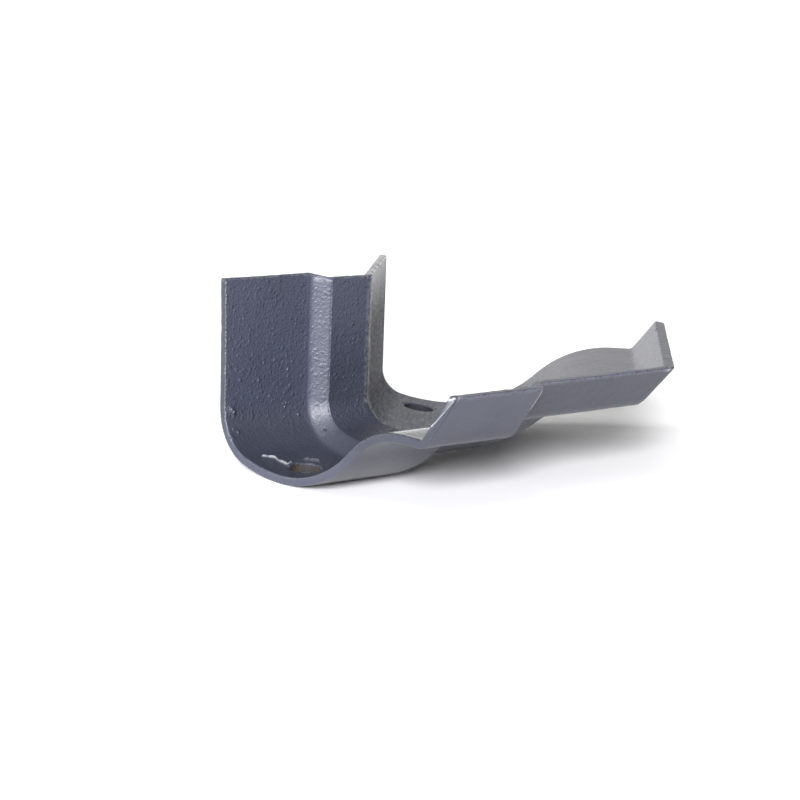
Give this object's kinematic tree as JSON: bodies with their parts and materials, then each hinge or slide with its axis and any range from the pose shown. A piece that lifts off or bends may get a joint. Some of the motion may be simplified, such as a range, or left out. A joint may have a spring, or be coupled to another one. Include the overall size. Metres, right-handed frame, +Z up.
{
  "type": "gutter external angle",
  "caption": "One-piece cast ogee gutter corner turning 45 degrees round an outside corner, with a stepped socket at one end, a plain spigot at the other and a bolt hole in each sole",
  "frame": {"origin": "middle of the plan on the base, which is the underside of the socket", "axes": "+X along the socket arm from the socket end to the mitre, +Y towards the back wall and the building, +Z up"},
  "size_m": [0.1868, 0.1664, 0.0682],
  "materials": {
    "paint": "glossy dark slate-blue paint, thick and pimpled over a rough sand casting"
  },
  "bodies": {
    "root": {"external_angle": "paint"}
  },
  "joints": []
}
